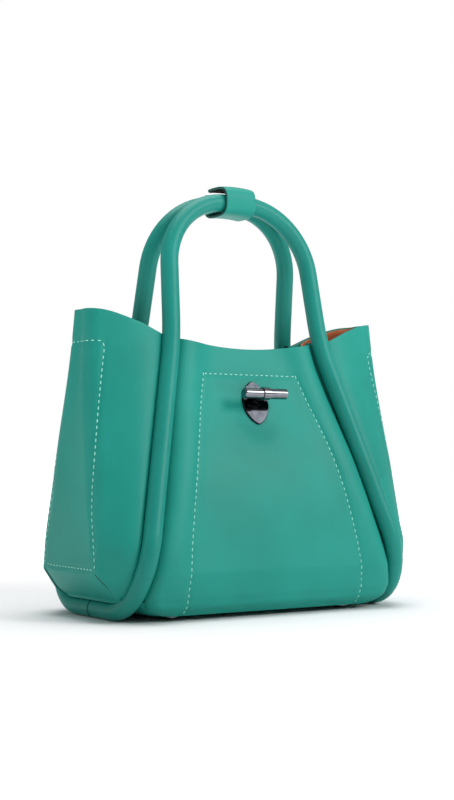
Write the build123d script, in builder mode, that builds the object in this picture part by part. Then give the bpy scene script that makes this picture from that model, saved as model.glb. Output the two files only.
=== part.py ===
"""Small two-handled bucket bag in smooth leather, modelled as its separate pieces.

Frame: +X along the bag, -Y towards the face with the turn lock, +Z up.
The origin is on the floor under the middle of the bag. Millimetres.
"""

import os
from math import atan2, cos, radians, sin, tan

from build123d import *

# ---------------------------------------------------------------- driving dimensions
# Body: height, half length at the side seams (XM), half depth there (D),
# half length at the ends (XE) and half depth of the ends (YE), from floor to rim.
LEVELS = [
    # z,   XM,   D,    XE,    YE
    (3.0, 82.0, 47.0, 90.0, 38.0),
    (14.0, 87.5, 53.5, 103.0, 40.0),
    (28.0, 90.0, 54.5, 115.5, 34.0),
    (90.0, 75.5, 41.0, 114.5, 26.0),
    (147.0, 60.5, 23.0, 113.0, 15.0),
    (192.0, 49.5, 14.5, 112.0, 10.5),
]
LEATHER = 2.4  # panel thickness
LINING_GAP = 4.0  # outer face of the panels to the lining
LINING = 1.0  # lining thickness
BASE_Z = 3.0  # underside of the base, held off the floor by the feet
BOARD = 1.6  # stiffening board

RIM_END_Z = 186.0
RIM_SEAM_Z = 170.5
RIM_MID_Z = 164.5

TUBE_R = 5.6  # outside radius of the handle tubes
CORE_R = 4.0  # cord inside the tubes
TUBE_PROUD = 2.5  # how far the tube's axis stands outside the side seams
HANDLE_TOP_Z = 258.4  # axis of the tubes at the top of the arch
HANDLE_GAP = 11.8  # between the two handles' axes under the wrap
ARCH_R = 46.0
ARCH_X = 50.5  # where the arch would have its corner
LOOP_X = 97.0  # where the tubes pass under the bag's ends
LOOP_Y = 38.0  # where they would have their lower corners
LOOP_TURN_Z = 34.0  # where they turn up along the side seams
HANDLE_BENDS = [30.0, 40.0, 150.0, ARCH_R]  # radii from the loop under the end up to the arch

LOCK_Z = 130.0
LOCK_PLATE = (19.0, 29.0, 1.6)  # width, height, thickness
LOCK_STEM_R = 2.5
LOCK_BAR = (32.0, 3.3)  # length, radius
LOCK_STAND = 12.5  # height of the bar's axis above the panel
POST_Y = 2.0  # the stem sits a little above the middle of the plate
BOSS = (4.8, 3.2)  # radius, height
SCREW_R = 0.9
SCREW_YS = [POST_Y - 8.4, POST_Y + 8.4]
BACKPLATE = (14.0, 22.0, 1.0)  # width, height, thickness
BACKPLATE_DEPTH = 6.1  # its inner face, behind the outside of the panel
CLIP = (4.4, 1.0)  # radius, thickness
RUN = 0.05  # radial running clearance

WRAP_LENGTH = 22.0
WRAP_TOP_Z = 270.2
WRAP_OUT = 2.8  # outer face of the wrap, from the tubes
WRAP_MID = 1.2  # where its leather meets its lining
WRAP_IN = 0.5  # inner face of its lining

WIRE = 2.3  # wire of the rings
RING_W = 13.0
RING_H = 14.0  # from the bar's axis less half the wire, to the bottom of the bow
RING_X = 104.0
RING_Z = 181.0  # axis of the ring's bar
TAB_W = 7.2

CLOSURE_W = 23.0
CLOSURE_T = 2.2
CLOSURE_Z = 151.0  # fold line of the closure strap
CLOSURE_Y = 12.9
CLOSURE_LENGTH = 110.0
SLOT_AT = 86.0  # fold line to the middle of the slot
SLOT = (34.4, 7.8)
EYELET = (3.5, 0.8)  # width of the eyelet's flange, thickness
EYELET_NECK = 0.4  # wall of the eyelet through the strap
POCKET = (96.0, 52.0, 1.2)
POCKET_Z = 59.0

LEASH_X = -100.0
LEASH_RING_Z = 154.0
LEASH_W = 7.0
LEASH_LENGTH = 38.3
HOOK = (14.0, 26.0, 3.2)  # width, height, thickness
GATE_T = 1.3

FOOT_R = 4.5
FOOT_X = 64.0
FOOT_Y = 33.0


# ---------------------------------------------------------------- helpers
def level_at(z):
    """Body dimensions at height z, in line between the levels."""
    for low, high in zip(LEVELS, LEVELS[1:]):
        if low[0] <= z <= high[0]:
            t = (z - low[0]) / (high[0] - low[0])
            return [a + (b - a) * t for a, b in zip(low, high)][1:]
    return list(LEVELS[-1][1:])


def octagon(size, inset):
    """Corner points of one level of the body, drawn in by inset."""
    xm, d, xe, ye = size
    side = tan(atan2(d - ye, xe - xm) / 2) * inset
    end = tan(radians(45) - atan2(d - ye, xe - xm) / 2) * inset
    right = [(xm - side, d - inset), (xe - inset, ye - end)]
    lower = [(x, -y) for x, y in reversed(right)]
    return right + lower + [(-x, y) for x, y in reversed(right + lower)]


def hollow_form(insets, floor):
    """Closed body form through all levels, drawn in by insets, from floor up."""
    with BuildPart() as form:
        for size, inset in zip(LEVELS, insets):
            z = max(size[0], floor) if size is LEVELS[0] else size[0]
            with BuildSketch(Plane.XY.offset(z)):
                Polygon(*octagon(size[1:], inset), align=None)
        loft(ruled=True)
    return form.part


def keep_below_rim(clear):
    """Everything above the rim line lowered by clear, to be cut away."""
    with BuildPart() as above:
        with BuildSketch(Plane.XZ) as outline:
            with BuildLine():
                Spline(
                    (-125, RIM_END_Z - clear),
                    (-98, RIM_END_Z - 2 - clear),
                    (-57, RIM_SEAM_Z - clear),
                    (0, RIM_MID_Z - clear),
                    (57, RIM_SEAM_Z - clear),
                    (98, RIM_END_Z - 2 - clear),
                    (125, RIM_END_Z - clear),
                )
                Polyline((125, RIM_END_Z - clear), (125, 205), (-125, 205), (-125, RIM_END_Z - clear))
            make_face()
        extrude(amount=70, both=True)
    return above.part


def seam_wedge(shift):
    """The space between the two side seams, drawn in by shift."""
    low, high = LEVELS[2], LEVELS[-1]
    with BuildPart() as wedge:
        with BuildSketch(Plane.XZ):
            Polygon(
                (-LEVELS[0][1] + shift, 0),
                (-low[1] + shift, low[0]),
                (-high[1] + shift, high[0] + 5),
                (high[1] - shift, high[0] + 5),
                (low[1] - shift, low[0]),
                (LEVELS[0][1] - shift, 0),
                align=None,
            )
        extrude(amount=70, both=True)
    return wedge.part


def half_space(direction):
    """A big block on one side of the plane Y = 0 or X = 0."""
    with BuildPart(Plane(origin=(0, 0, 100), z_dir=direction)) as block:
        with BuildSketch(Plane(origin=(0, 0, 100), z_dir=direction)):
            Rectangle(300, 300)
        extrude(amount=150)
    return block.part


def handle_path(side):
    """Centre line of one handle: under one end, up the panel, over, and back down."""
    xm, depth = level_at(RIM_SEAM_Z)[:2]
    rim = (xm + 1.5, depth + TUBE_PROUD)
    foot = (LEVELS[2][1] + 2.4, LEVELS[2][2] + 2.0)
    half = [
        (LOOP_X, 0.0, TUBE_R),
        (LOOP_X, LOOP_Y, TUBE_R),
        (foot[0], foot[1], LOOP_TURN_Z),
        (rim[0], rim[1], RIM_SEAM_Z - 2),
        (ARCH_X, HANDLE_GAP / 2, HANDLE_TOP_Z),
    ]
    right = [Vector(x, side * y, z) for x, y, z in half]
    return right + [Vector(-p.X, p.Y, p.Z) for p in reversed(right)]


def tube_solid(points, radius):
    """Round tube along straight runs joined by arcs."""
    bends = HANDLE_BENDS + HANDLE_BENDS[::-1]
    with BuildPart() as tube:
        with BuildLine():
            path = FilletPolyline(*points, radius=bends)
        with BuildSketch(Plane(path @ 0, z_dir=path % 0)):
            Circle(radius)
        sweep(path=path)
    return tube.part


FRONT_TUBE = tube_solid(handle_path(-1), TUBE_R)
BACK_TUBE = tube_solid(handle_path(1), TUBE_R)
FRONT_SPACE = tube_solid(handle_path(-1), TUBE_R + 0.1)
BACK_SPACE = tube_solid(handle_path(1), TUBE_R + 0.1)


# ---------------------------------------------------------------- body
OUTER = hollow_form([0] * 6, BASE_Z)
CAVITY = hollow_form([LEATHER] * 6, BASE_Z + LEATHER)
LINING_OUTER = hollow_form([8, 7, LINING_GAP, LINING_GAP, LINING_GAP, LINING_GAP], BASE_Z + 5.2)
LINING_INNER = hollow_form([9, 8] + [LINING_GAP + LINING] * 4, BASE_Z + 6.2)
WEDGE = seam_wedge(-0.9)
ABOVE_RIM = keep_below_rim(0)
ABOVE_LINING = keep_below_rim(1.0)
FRONT_HALF = half_space((0, -1, 0))
BACK_HALF = half_space((0, 1, 0))
LEFT_HALF = half_space((-1, 0, 0))
RIGHT_HALF = half_space((1, 0, 0))

LOCK_LEAN = atan2(LEVELS[3][2] - LEVELS[4][2], LEVELS[4][0] - LEVELS[3][0])
LOCK_PLANE = Plane(
    origin=(0, -level_at(LOCK_Z)[1], LOCK_Z),
    x_dir=(1, 0, 0),
    z_dir=(0, -cos(LOCK_LEAN), sin(LOCK_LEAN)),
)

with BuildPart() as walls:
    add(OUTER)
    add(CAVITY, mode=Mode.SUBTRACT)
    add(ABOVE_RIM, mode=Mode.SUBTRACT)
    add(FRONT_SPACE, mode=Mode.SUBTRACT)
    add(BACK_SPACE, mode=Mode.SUBTRACT)
    with BuildSketch(LOCK_PLANE.offset(1)):
        with Locations((0, POST_Y)):
            Circle(LOCK_STEM_R + 0.7)
        with Locations(*[(0, y) for y in SCREW_YS]):
            Circle(SCREW_R + 0.3)
    extrude(amount=-6, mode=Mode.SUBTRACT)

with BuildPart() as base_slab:
    with BuildSketch(Plane.XY):
        Rectangle(260, 140)
    extrude(amount=BASE_Z + LEATHER)


def biggest(part):
    """The largest solid of a cut piece, without any sliver beside it."""
    return part.solids().sort_by(SortBy.VOLUME)[-1]


def wall_piece(*keep, drop=()):
    """The part of the walls that lies in every kept region and in no dropped one."""
    with BuildPart() as piece:
        add(walls.part)
        for region in keep:
            add(region, mode=Mode.INTERSECT)
        for region in drop:
            add(region, mode=Mode.SUBTRACT)
    return biggest(piece.part)


def finish(part, name):
    """Label a piece and write it to its own file."""
    part.label = name
    export_step(part, f"parts/{name}.step")


os.makedirs("parts", exist_ok=True)

with BuildPart() as front_panel:
    add(wall_piece(WEDGE, FRONT_HALF, drop=[base_slab.part]))
finish(front_panel.part, "front_panel")

with BuildPart() as back_panel:
    add(wall_piece(WEDGE, BACK_HALF, drop=[base_slab.part]))
finish(back_panel.part, "back_panel")

with BuildPart() as left_side_panel:
    add(wall_piece(LEFT_HALF, drop=[WEDGE, base_slab.part]))
finish(left_side_panel.part, "left_side_panel")

with BuildPart() as right_side_panel:
    add(wall_piece(RIGHT_HALF, drop=[WEDGE, base_slab.part]))
finish(right_side_panel.part, "right_side_panel")

FOOT_SPOTS = [(x, y) for x in (-FOOT_X, FOOT_X) for y in (-FOOT_Y, FOOT_Y)]

with BuildPart() as base_panel:
    add(wall_piece(base_slab.part))
    with BuildSketch(Plane.XY):
        with Locations(*FOOT_SPOTS):
            Circle(1.4)
    extrude(amount=10, mode=Mode.SUBTRACT)
finish(base_panel.part, "base_panel")

with BuildPart() as base_board:
    with BuildSketch(Plane.XY.offset(BASE_Z + LEATHER + 0.1)):
        RectangleRounded(152, 74, 8)
        with Locations(*FOOT_SPOTS):
            Circle(1.4, mode=Mode.SUBTRACT)
    extrude(amount=BOARD)
finish(base_board.part, "base_board")

with BuildPart() as base_feet:
    with BuildSketch():
        with Locations(*FOOT_SPOTS):
            Circle(FOOT_R)
    extrude(amount=BASE_Z)
    fillet(base_feet.edges().group_by(Axis.Z)[0], 1.4)
    with BuildSketch(Plane.XY.offset(BASE_Z)):
        with Locations(*FOOT_SPOTS):
            Circle(1.3)
    extrude(amount=4.6)
finish(base_feet.part, "base_feet")

with BuildPart() as lining:
    add(LINING_OUTER)
    add(LINING_INNER, mode=Mode.SUBTRACT)
    add(ABOVE_LINING, mode=Mode.SUBTRACT)
    add(FRONT_SPACE, mode=Mode.SUBTRACT)
    add(BACK_SPACE, mode=Mode.SUBTRACT)
    with BuildSketch(LOCK_PLANE.offset(1)):
        with Locations((0, POST_Y)):
            Circle(LOCK_STEM_R + 0.7)
        with Locations(*[(0, y) for y in SCREW_YS]):
            Circle(SCREW_R + 0.3)
    extrude(amount=-9, mode=Mode.SUBTRACT)
finish(lining.part, "lining")

# A slip pocket lies flat on the back lining, open along its top edge.
POCKET_LEAN = atan2(LEVELS[2][2] - LEVELS[3][2], LEVELS[3][0] - LEVELS[2][0])
POCKET_PLANE = Plane(
    origin=(0, level_at(POCKET_Z)[1] - LINING_GAP - LINING - 0.15, POCKET_Z),
    x_dir=(-1, 0, 0),
    z_dir=(0, -cos(POCKET_LEAN), -sin(POCKET_LEAN)),
)
with BuildPart() as inner_pocket:
    with BuildSketch(POCKET_PLANE):
        RectangleRounded(POCKET[0], POCKET[1], 5)
    extrude(amount=POCKET[2])
finish(inner_pocket.part, "inner_pocket")

# ---------------------------------------------------------------- handles
for side_name, tube, side in (("front", FRONT_TUBE, -1), ("back", BACK_TUBE, 1)):
    with BuildPart() as handle_cover:
        add(tube)
        add(tube_solid(handle_path(side), CORE_R), mode=Mode.SUBTRACT)
    finish(handle_cover.part, f"{side_name}_handle_cover")

    with BuildPart() as handle_core:
        add(tube_solid(handle_path(side), CORE_R - 0.1))
    finish(handle_core.part, f"{side_name}_handle_core")


def wrap_ring(outer, inner):
    """Closed band round both handles, between two distances from the tubes."""
    low = HANDLE_TOP_Z - TUBE_R
    half = HANDLE_GAP / 2 + TUBE_R
    with BuildPart() as band:
        for grow, mode in ((outer, Mode.ADD), (inner, Mode.SUBTRACT)):
            top = WRAP_TOP_Z - (WRAP_OUT - grow)
            height = top - (low - grow)
            with BuildSketch(Plane.YZ.offset(-WRAP_LENGTH / 2)):
                with Locations((0, (top + low - grow) / 2)):
                    RectangleRounded(2 * (half + grow), height, min(5.0, height / 2 - 0.5))
            extrude(amount=WRAP_LENGTH, mode=mode)
    return band.part


with BuildPart() as handle_wrap:
    add(wrap_ring(WRAP_OUT, WRAP_MID))
finish(handle_wrap.part, "handle_wrap")

with BuildPart() as wrap_lining:
    add(wrap_ring(WRAP_MID, WRAP_IN))
finish(wrap_lining.part, "wrap_lining")

# ---------------------------------------------------------------- turn lock
with BuildPart() as lock_plate:
    reach = (LOCK_PLATE[1] / 2) ** 2 + (LOCK_PLATE[0] / 2) ** 2
    arc_r = reach / LOCK_PLATE[0]
    shift = arc_r - LOCK_PLATE[0] / 2
    with BuildSketch(LOCK_PLANE) as almond:
        with Locations((shift, 0)):
            Circle(arc_r)
        with Locations((-shift, 0)):
            Circle(arc_r, mode=Mode.INTERSECT)
        fillet(almond.vertices(), 3)
    extrude(amount=LOCK_PLATE[2])
    top_edges = lock_plate.faces().sort_by(SortBy.AREA)[-2:].sort_by(Axis.Y)[0].edges()
    chamfer(top_edges, 0.5)
    with BuildSketch(LOCK_PLANE):
        with Locations((0, POST_Y)):
            Circle(LOCK_STEM_R + 0.5)
    extrude(amount=LOCK_PLATE[2], mode=Mode.SUBTRACT)
    with BuildSketch(LOCK_PLANE):
        with Locations(*[(0, y) for y in SCREW_YS]):
            Circle(SCREW_R + RUN)
    extrude(amount=1.0, mode=Mode.SUBTRACT)
finish(lock_plate.part, "lock_plate")

with BuildPart() as lock_boss:
    with BuildSketch(LOCK_PLANE.offset(LOCK_PLATE[2])):
        with Locations((0, POST_Y)):
            Circle(BOSS[0])
            Circle(LOCK_STEM_R + RUN, mode=Mode.SUBTRACT)
    extrude(amount=BOSS[1], taper=8)
finish(lock_boss.part, "lock_boss")

BAR_PLANE = Plane(
    origin=LOCK_PLANE.from_local_coords(Vector(0, POST_Y, LOCK_STAND)),
    x_dir=(0, 1, 0),
    z_dir=(1, 0, 0),
)
with BuildPart() as lock_bar:
    with BuildSketch(BAR_PLANE.offset(-LOCK_BAR[0] / 2)):
        Circle(LOCK_BAR[1])
    extrude(amount=LOCK_BAR[0])
    chamfer(lock_bar.edges().filter_by(GeomType.CIRCLE), 0.7)
    with BuildSketch(BAR_PLANE.offset(-2.4)):
        Circle(LOCK_BAR[1] + 0.7)
    extrude(amount=4.8)
    with BuildSketch(LOCK_PLANE.offset(-7.4)):
        with Locations((0, POST_Y)):
            Circle(LOCK_STEM_R)
    extrude(amount=LOCK_STAND + 7.4 - 1)
finish(lock_bar.part, "lock_bar")

with BuildPart() as lock_backplate:
    with BuildSketch(LOCK_PLANE.offset(-BACKPLATE_DEPTH)):
        with Locations((0, POST_Y)):
            RectangleRounded(BACKPLATE[0], BACKPLATE[1], 3)
            Circle(LOCK_STEM_R + RUN, mode=Mode.SUBTRACT)
        with Locations(*[(0, y) for y in SCREW_YS]):
            Circle(SCREW_R + RUN, mode=Mode.SUBTRACT)
    extrude(amount=BACKPLATE[2])
finish(lock_backplate.part, "lock_backplate")

with BuildPart() as lock_clip:
    with BuildSketch(LOCK_PLANE.offset(-BACKPLATE_DEPTH - CLIP[1] - 0.1)):
        with Locations((0, POST_Y)):
            Circle(CLIP[0])
            Circle(LOCK_STEM_R, mode=Mode.SUBTRACT)
    extrude(amount=CLIP[1])
finish(lock_clip.part, "lock_clip")

with BuildPart() as lock_screws:
    with BuildSketch(LOCK_PLANE.offset(-BACKPLATE_DEPTH)):
        with Locations(*[(0, y) for y in SCREW_YS]):
            Circle(SCREW_R)
    extrude(amount=BACKPLATE_DEPTH + 0.8)
    with BuildSketch(LOCK_PLANE.offset(-BACKPLATE_DEPTH - 1)):
        with Locations(*[(0, y) for y in SCREW_YS]):
            Circle(2 * SCREW_R + 0.1)
    extrude(amount=1.0)
finish(lock_screws.part, "lock_screws")

# ---------------------------------------------------------------- closure strap
with BuildPart() as closure_anchor:
    with BuildSketch(Plane.XZ.offset(-CLOSURE_Y - CLOSURE_T / 2)):
        with Locations((0, CLOSURE_Z + 6.8)):
            RectangleRounded(CLOSURE_W, 10.8, 1.5)
    extrude(amount=CLOSURE_T)
finish(closure_anchor.part, "closure_anchor")

# The strap's upper edge is rolled round its fold line, which it swings about.
with BuildPart() as closure_strap:
    with BuildSketch(Plane.XZ.offset(-CLOSURE_Y - CLOSURE_T / 2)):
        with Locations((0, CLOSURE_Z - CLOSURE_LENGTH / 2)):
            RectangleRounded(CLOSURE_W, CLOSURE_LENGTH, 6)
        with Locations((0, CLOSURE_Z - 10)):
            Rectangle(CLOSURE_W, 20)
        with Locations((0, CLOSURE_Z - SLOT_AT)):
            SlotOverall(SLOT[0] + 2 * EYELET_NECK, SLOT[1] + 2 * EYELET_NECK, rotation=90, mode=Mode.SUBTRACT)
    extrude(amount=CLOSURE_T)
    with BuildSketch(Plane.YZ.offset(-CLOSURE_W / 2)):
        with Locations((CLOSURE_Y, CLOSURE_Z)):
            Circle(CLOSURE_T / 2)
    extrude(amount=CLOSURE_W)
finish(closure_strap.part, "closure_strap")

with BuildPart() as closure_eyelet:
    for face_y in (CLOSURE_Y + CLOSURE_T / 2 + EYELET[1], CLOSURE_Y - CLOSURE_T / 2):
        with BuildSketch(Plane.XZ.offset(-face_y)):
            with Locations((0, CLOSURE_Z - SLOT_AT)):
                SlotOverall(SLOT[0] + 2 * EYELET[0], SLOT[1] + 2 * EYELET[0], rotation=90)
        extrude(amount=EYELET[1])
    neck = 2 * (EYELET_NECK - RUN)
    with BuildSketch(Plane.XZ.offset(-CLOSURE_Y - CLOSURE_T / 2)):
        with Locations((0, CLOSURE_Z - SLOT_AT)):
            SlotOverall(SLOT[0] + neck, SLOT[1] + neck, rotation=90)
    extrude(amount=CLOSURE_T)
    with BuildSketch(Plane.XZ.offset(-CLOSURE_Y - 5)):
        with Locations((0, CLOSURE_Z - SLOT_AT)):
            SlotOverall(SLOT[0], SLOT[1], rotation=90)
    extrude(amount=10, mode=Mode.SUBTRACT)
finish(closure_eyelet.part, "closure_eyelet")


# ---------------------------------------------------------------- rings and their tabs
def ring_solid(x, z, width=RING_W, height=RING_H):
    """D-shaped ring hanging from its round bar, which lies along Y at (x, z)."""
    with BuildPart() as ring:
        with BuildSketch(Plane.YZ.offset(x - WIRE / 2)):
            with Locations((0, z + WIRE / 2 - height / 2)):
                RectangleRounded(width, height, 4)
            with Locations((0, z + WIRE / 2 - height / 2)):
                RectangleRounded(width - 2 * WIRE, height - 2 * WIRE, 2, mode=Mode.SUBTRACT)
            with Locations((0, z + 1.5)):
                Rectangle(width, 4, mode=Mode.SUBTRACT)
                Rectangle(width - 2 * WIRE, 8, mode=Mode.SUBTRACT)
        extrude(amount=WIRE)
        fillet(ring.edges().filter_by(GeomType.CIRCLE), 0.5)
        with BuildSketch(Plane.XZ.offset(-width / 2 + 0.4)):
            with Locations((x, z)):
                Circle(WIRE / 2)
        extrude(amount=width - 0.8)
    return ring.part


def tab_solid(x, z, wall):
    """Leather loop from the lining at x = wall, folded round the bar at (x, z)."""
    side = 1 if wall > 0 else -1
    nose = 2.6
    with BuildPart() as tab:
        with BuildSketch(Plane.XZ.offset(-TAB_W / 2)):
            with Locations((x, z)):
                Circle(nose)
            with Locations(((wall + x) / 2, z)):
                Rectangle(abs(wall - x), 2 * nose)
            with Locations((wall - side * 0.8, z - 3)):
                Rectangle(1.6, 9)
            with Locations((x, z)):
                Circle(WIRE / 2 + RUN, mode=Mode.SUBTRACT)
        extrude(amount=TAB_W)
    return tab.part


def wall_x(z):
    """Inner face of the lining at the bag's end, at its nearest over a tab's height."""
    return level_at(z + 3)[2] - LINING_GAP - LINING - 0.15


for side_name, side in (("left", -1), ("right", 1)):
    with BuildPart() as ring_tab:
        add(tab_solid(side * RING_X, RING_Z, side * wall_x(RING_Z)))
    finish(ring_tab.part, f"{side_name}_ring_tab")

    with BuildPart() as side_ring:
        add(ring_solid(side * RING_X, RING_Z))
    finish(side_ring.part, f"{side_name}_ring")

# ---------------------------------------------------------------- key leash and snap hook
BOW_Z = LEASH_RING_Z + WIRE - RING_H  # axis of the leash ring's bow
EYE_Z = BOW_Z - LEASH_LENGTH
BARREL_Z = EYE_Z - 11.5
HOOK_Z = BARREL_Z - 2.4 - HOOK[1] / 2

with BuildPart() as leash_tab:
    add(tab_solid(LEASH_X, LEASH_RING_Z, -wall_x(LEASH_RING_Z)))
finish(leash_tab.part, "leash_tab")

with BuildPart() as leash_ring:
    add(ring_solid(LEASH_X, LEASH_RING_Z))
finish(leash_ring.part, "leash_ring")

with BuildPart() as leash_strap:
    with BuildSketch(Plane.XZ.offset(-LEASH_W / 2)):
        with Locations((LEASH_X, (BOW_Z + EYE_Z) / 2)):
            Rectangle(3, LEASH_LENGTH)
        with Locations((LEASH_X, BOW_Z), (LEASH_X, EYE_Z)):
            Circle(3.4)
        with Locations((LEASH_X, BOW_Z), (LEASH_X, EYE_Z)):
            Circle(2.1, mode=Mode.SUBTRACT)
    extrude(amount=LEASH_W)
finish(leash_strap.part, "leash_strap")

with BuildPart() as hook_eye:
    add(ring_solid(LEASH_X, EYE_Z, height=11.0))
    with BuildSketch(Plane.XY.offset(BARREL_Z)):
        with Locations((LEASH_X, 0)):
            Circle(3.0)
    extrude(amount=4.2)
    with BuildSketch(Plane.XY.offset(BARREL_Z)):
        with Locations((LEASH_X, 0)):
            Circle(1.5 + RUN)
    extrude(amount=4.2, mode=Mode.SUBTRACT)
finish(hook_eye.part, "hook_eye")

GATE_Y = (HOOK[0] - 3.0) / 2
GATE_Z = HOOK_Z + 6.5
with BuildPart() as hook_body:
    with BuildSketch(Plane.YZ.offset(LEASH_X - HOOK[2] / 2)):
        with Locations((0, HOOK_Z)):
            RectangleRounded(HOOK[0], HOOK[1], 6.9)
            RectangleRounded(HOOK[0] - 6, HOOK[1] - 6, 3.9, mode=Mode.SUBTRACT)
        with Locations((5.6, HOOK_Z - 1.5)):
            Rectangle(4, 11.6, mode=Mode.SUBTRACT)
        with Locations((GATE_Y, GATE_Z)):
            Circle(2.1)
    extrude(amount=HOOK[2])
    with BuildSketch(Plane.YZ.offset(LEASH_X - GATE_T / 2 - 0.1)):
        with Locations((GATE_Y, GATE_Z)):
            Circle(2.4)
        with Locations((GATE_Y - 0.8, GATE_Z - 2)):
            Rectangle(5.6, 4)
    extrude(amount=GATE_T + 0.2, mode=Mode.SUBTRACT)
    with BuildSketch(Plane.YZ.offset(LEASH_X - HOOK[2] / 2)):
        with Locations((GATE_Y, GATE_Z)):
            Circle(0.7)
    extrude(amount=HOOK[2], mode=Mode.SUBTRACT)
    with BuildSketch(Plane.XY.offset(HOOK_Z + HOOK[1] / 2 - 1)):
        with Locations((LEASH_X, 0)):
            Circle(1.5)
    extrude(amount=BARREL_Z + 4.6 - HOOK_Z - HOOK[1] / 2 + 1)
    with BuildSketch(Plane.XY.offset(BARREL_Z + 4.4)):
        with Locations((LEASH_X, 0)):
            Circle(2.4)
    extrude(amount=1.2)
finish(hook_body.part, "hook_body")

with BuildPart() as hook_gate:
    with BuildSketch(Plane.YZ.offset(LEASH_X - GATE_T / 2)):
        with Locations((GATE_Y, GATE_Z)):
            Circle(1.9)
        with Locations((GATE_Y + 0.1, GATE_Z - 6.9)):
            Rectangle(2.4, 13.4)
        with Locations((GATE_Y + 1.6, GATE_Z - 4.4)):
            Rectangle(2.4, 3)
        with Locations((GATE_Y, GATE_Z)):
            Circle(0.7 + RUN, mode=Mode.SUBTRACT)
    extrude(amount=GATE_T)
finish(hook_gate.part, "hook_gate")

with BuildPart() as hook_pin:
    with BuildSketch(Plane.YZ.offset(LEASH_X - HOOK[2] / 2)):
        with Locations((GATE_Y, GATE_Z)):
            Circle(0.7)
    extrude(amount=HOOK[2])
finish(hook_pin.part, "hook_pin")
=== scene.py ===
# %% [markdown]
# # A small leather bucket bag
# The bag stands on the floor, with its lock face towards -Y and its length along X. The hard parts come
# from the CAD frame. The leather, the lining and the thread are made here, because leather rolls, sags
# and puckers in ways that plain solids don't show.

# %% Load the frame
import math

import bmesh
import bpy
from mathutils import Matrix, Vector


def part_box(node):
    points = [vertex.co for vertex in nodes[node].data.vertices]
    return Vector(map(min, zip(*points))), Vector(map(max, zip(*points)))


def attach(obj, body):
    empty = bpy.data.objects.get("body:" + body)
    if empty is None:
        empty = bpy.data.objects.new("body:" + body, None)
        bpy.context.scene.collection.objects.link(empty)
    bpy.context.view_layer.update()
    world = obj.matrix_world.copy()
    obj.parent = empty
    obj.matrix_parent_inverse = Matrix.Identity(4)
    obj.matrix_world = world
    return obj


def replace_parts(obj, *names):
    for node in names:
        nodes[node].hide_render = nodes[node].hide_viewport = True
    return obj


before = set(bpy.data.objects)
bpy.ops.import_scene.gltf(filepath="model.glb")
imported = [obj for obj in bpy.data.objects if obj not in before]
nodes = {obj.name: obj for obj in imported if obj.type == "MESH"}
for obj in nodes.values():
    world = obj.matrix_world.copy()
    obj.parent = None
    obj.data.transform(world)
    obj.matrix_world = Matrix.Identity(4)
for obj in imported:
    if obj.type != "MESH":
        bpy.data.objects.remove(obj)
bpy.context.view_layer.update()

MM = 0.001

# %% [markdown]
# ## Camera
# A bag is usually shown with a portrait lens from about a metre away, because a wider lens close by would
# swell its nearest corner. The camera could be turned by hand. Here its angles are given, and the way
# from the bag to the camera follows from them, so one number moves it. It stands to the left of the lock
# face, a little under half the height of the bag, and looks very slightly upwards.

# %% Camera
AZIMUTH = math.radians(-33.5)
PITCH = math.radians(-2.2)
DISTANCE = 0.94
AIM = Vector((-0.002, 0, 0.133))
LENS_MM = 66

back = Vector((
    math.sin(AZIMUTH) * math.cos(PITCH),
    -math.cos(AZIMUTH) * math.cos(PITCH),
    math.sin(PITCH),
))
camera_data = bpy.data.cameras.new("camera")
camera_data.lens = LENS_MM
camera = bpy.data.objects.new("camera", camera_data)
camera.location = AIM + back * DISTANCE
camera.rotation_euler = back.to_track_quat("Z", "Y").to_euler()
bpy.context.scene.collection.objects.link(camera)
bpy.context.scene.camera = camera
print("camera at", [round(c, 3) for c in camera.location])

# %% [markdown]
# ## Colours and materials
# Materials can be wired by hand in the shader editor, but then they can't be read or changed in one
# place, so they are built from code. Every colour is written as the hex value that a paint chart would
# give, and one function turns it to the linear value that the shader needs. One more function adds a
# node, sets it and links it, so each material below reads as a short recipe.

# %% Helpers for materials
def linear(hex_colour):
    """sRGB hex to a linear RGBA value."""
    channels = [int(hex_colour[i:i + 2], 16) / 255 for i in (1, 3, 5)]
    return [c / 12.92 if c <= 0.04045 else ((c + 0.055) / 1.055) ** 2.4 for c in channels] + [1.0]


def add_node(owner, kind, settings=None, **inputs):
    """Adds a node to a material or a world. An input is a value, or a node's socket to link from."""
    tree = owner.node_tree
    node = tree.nodes.new(kind)
    for name, value in (settings or {}).items():
        setattr(node, name, value)
    for name, value in inputs.items():
        socket = node.inputs[name.replace("_", " ")]
        if isinstance(value, bpy.types.NodeSocket):
            tree.links.new(value, socket)
        else:
            socket.default_value = value
    return node


def new_material(name):
    """An empty node material with its Principled shader, which the recipe then sets."""
    material = bpy.data.materials.new(name)
    material.use_nodes = True
    return material, material.node_tree.nodes["Principled BSDF"]


def ramp(material, factor, *stops):
    """Colour ramp from (position, hex) stops."""
    node = add_node(material, "ShaderNodeValToRGB", Fac=factor)
    elements = node.color_ramp.elements
    while len(elements) < len(stops):
        elements.new(0.5)
    for element, (position, colour) in zip(elements, stops):
        element.position = position
        element.color = linear(colour)
    return node.outputs["Color"]


def link(owner, source, node, socket):
    """Links a socket to a node's input, which is given by its name or its number."""
    owner.node_tree.links.new(source, node.inputs[socket])


# %% [markdown]
# ### Calf leather
# The shell is smooth dyed calf with a fine closed grain. To the eye that is a soft wide sheen with no
# sharp reflection, and a colour that drifts a little from place to place. The grain cells are about 0.7
# mm across, which is at the limit of what shows, so they only roughen the sheen. A picture of leather
# would need the panels unwrapped. Noise that reads the place in space doesn't, and it runs on over the
# seams unbroken.

# %% Leather
GRAIN_MM = 0.7
PORE_MM = 2.5
CLOUDS_PER_METRE = 14.0  # one drift of the dye about every 70 mm
LEATHER_IOR = 1.5
LEATHER_SPECULAR = 0.24  # under the usual 0.5, because dyed calf with a dull wax reflects little


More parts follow.
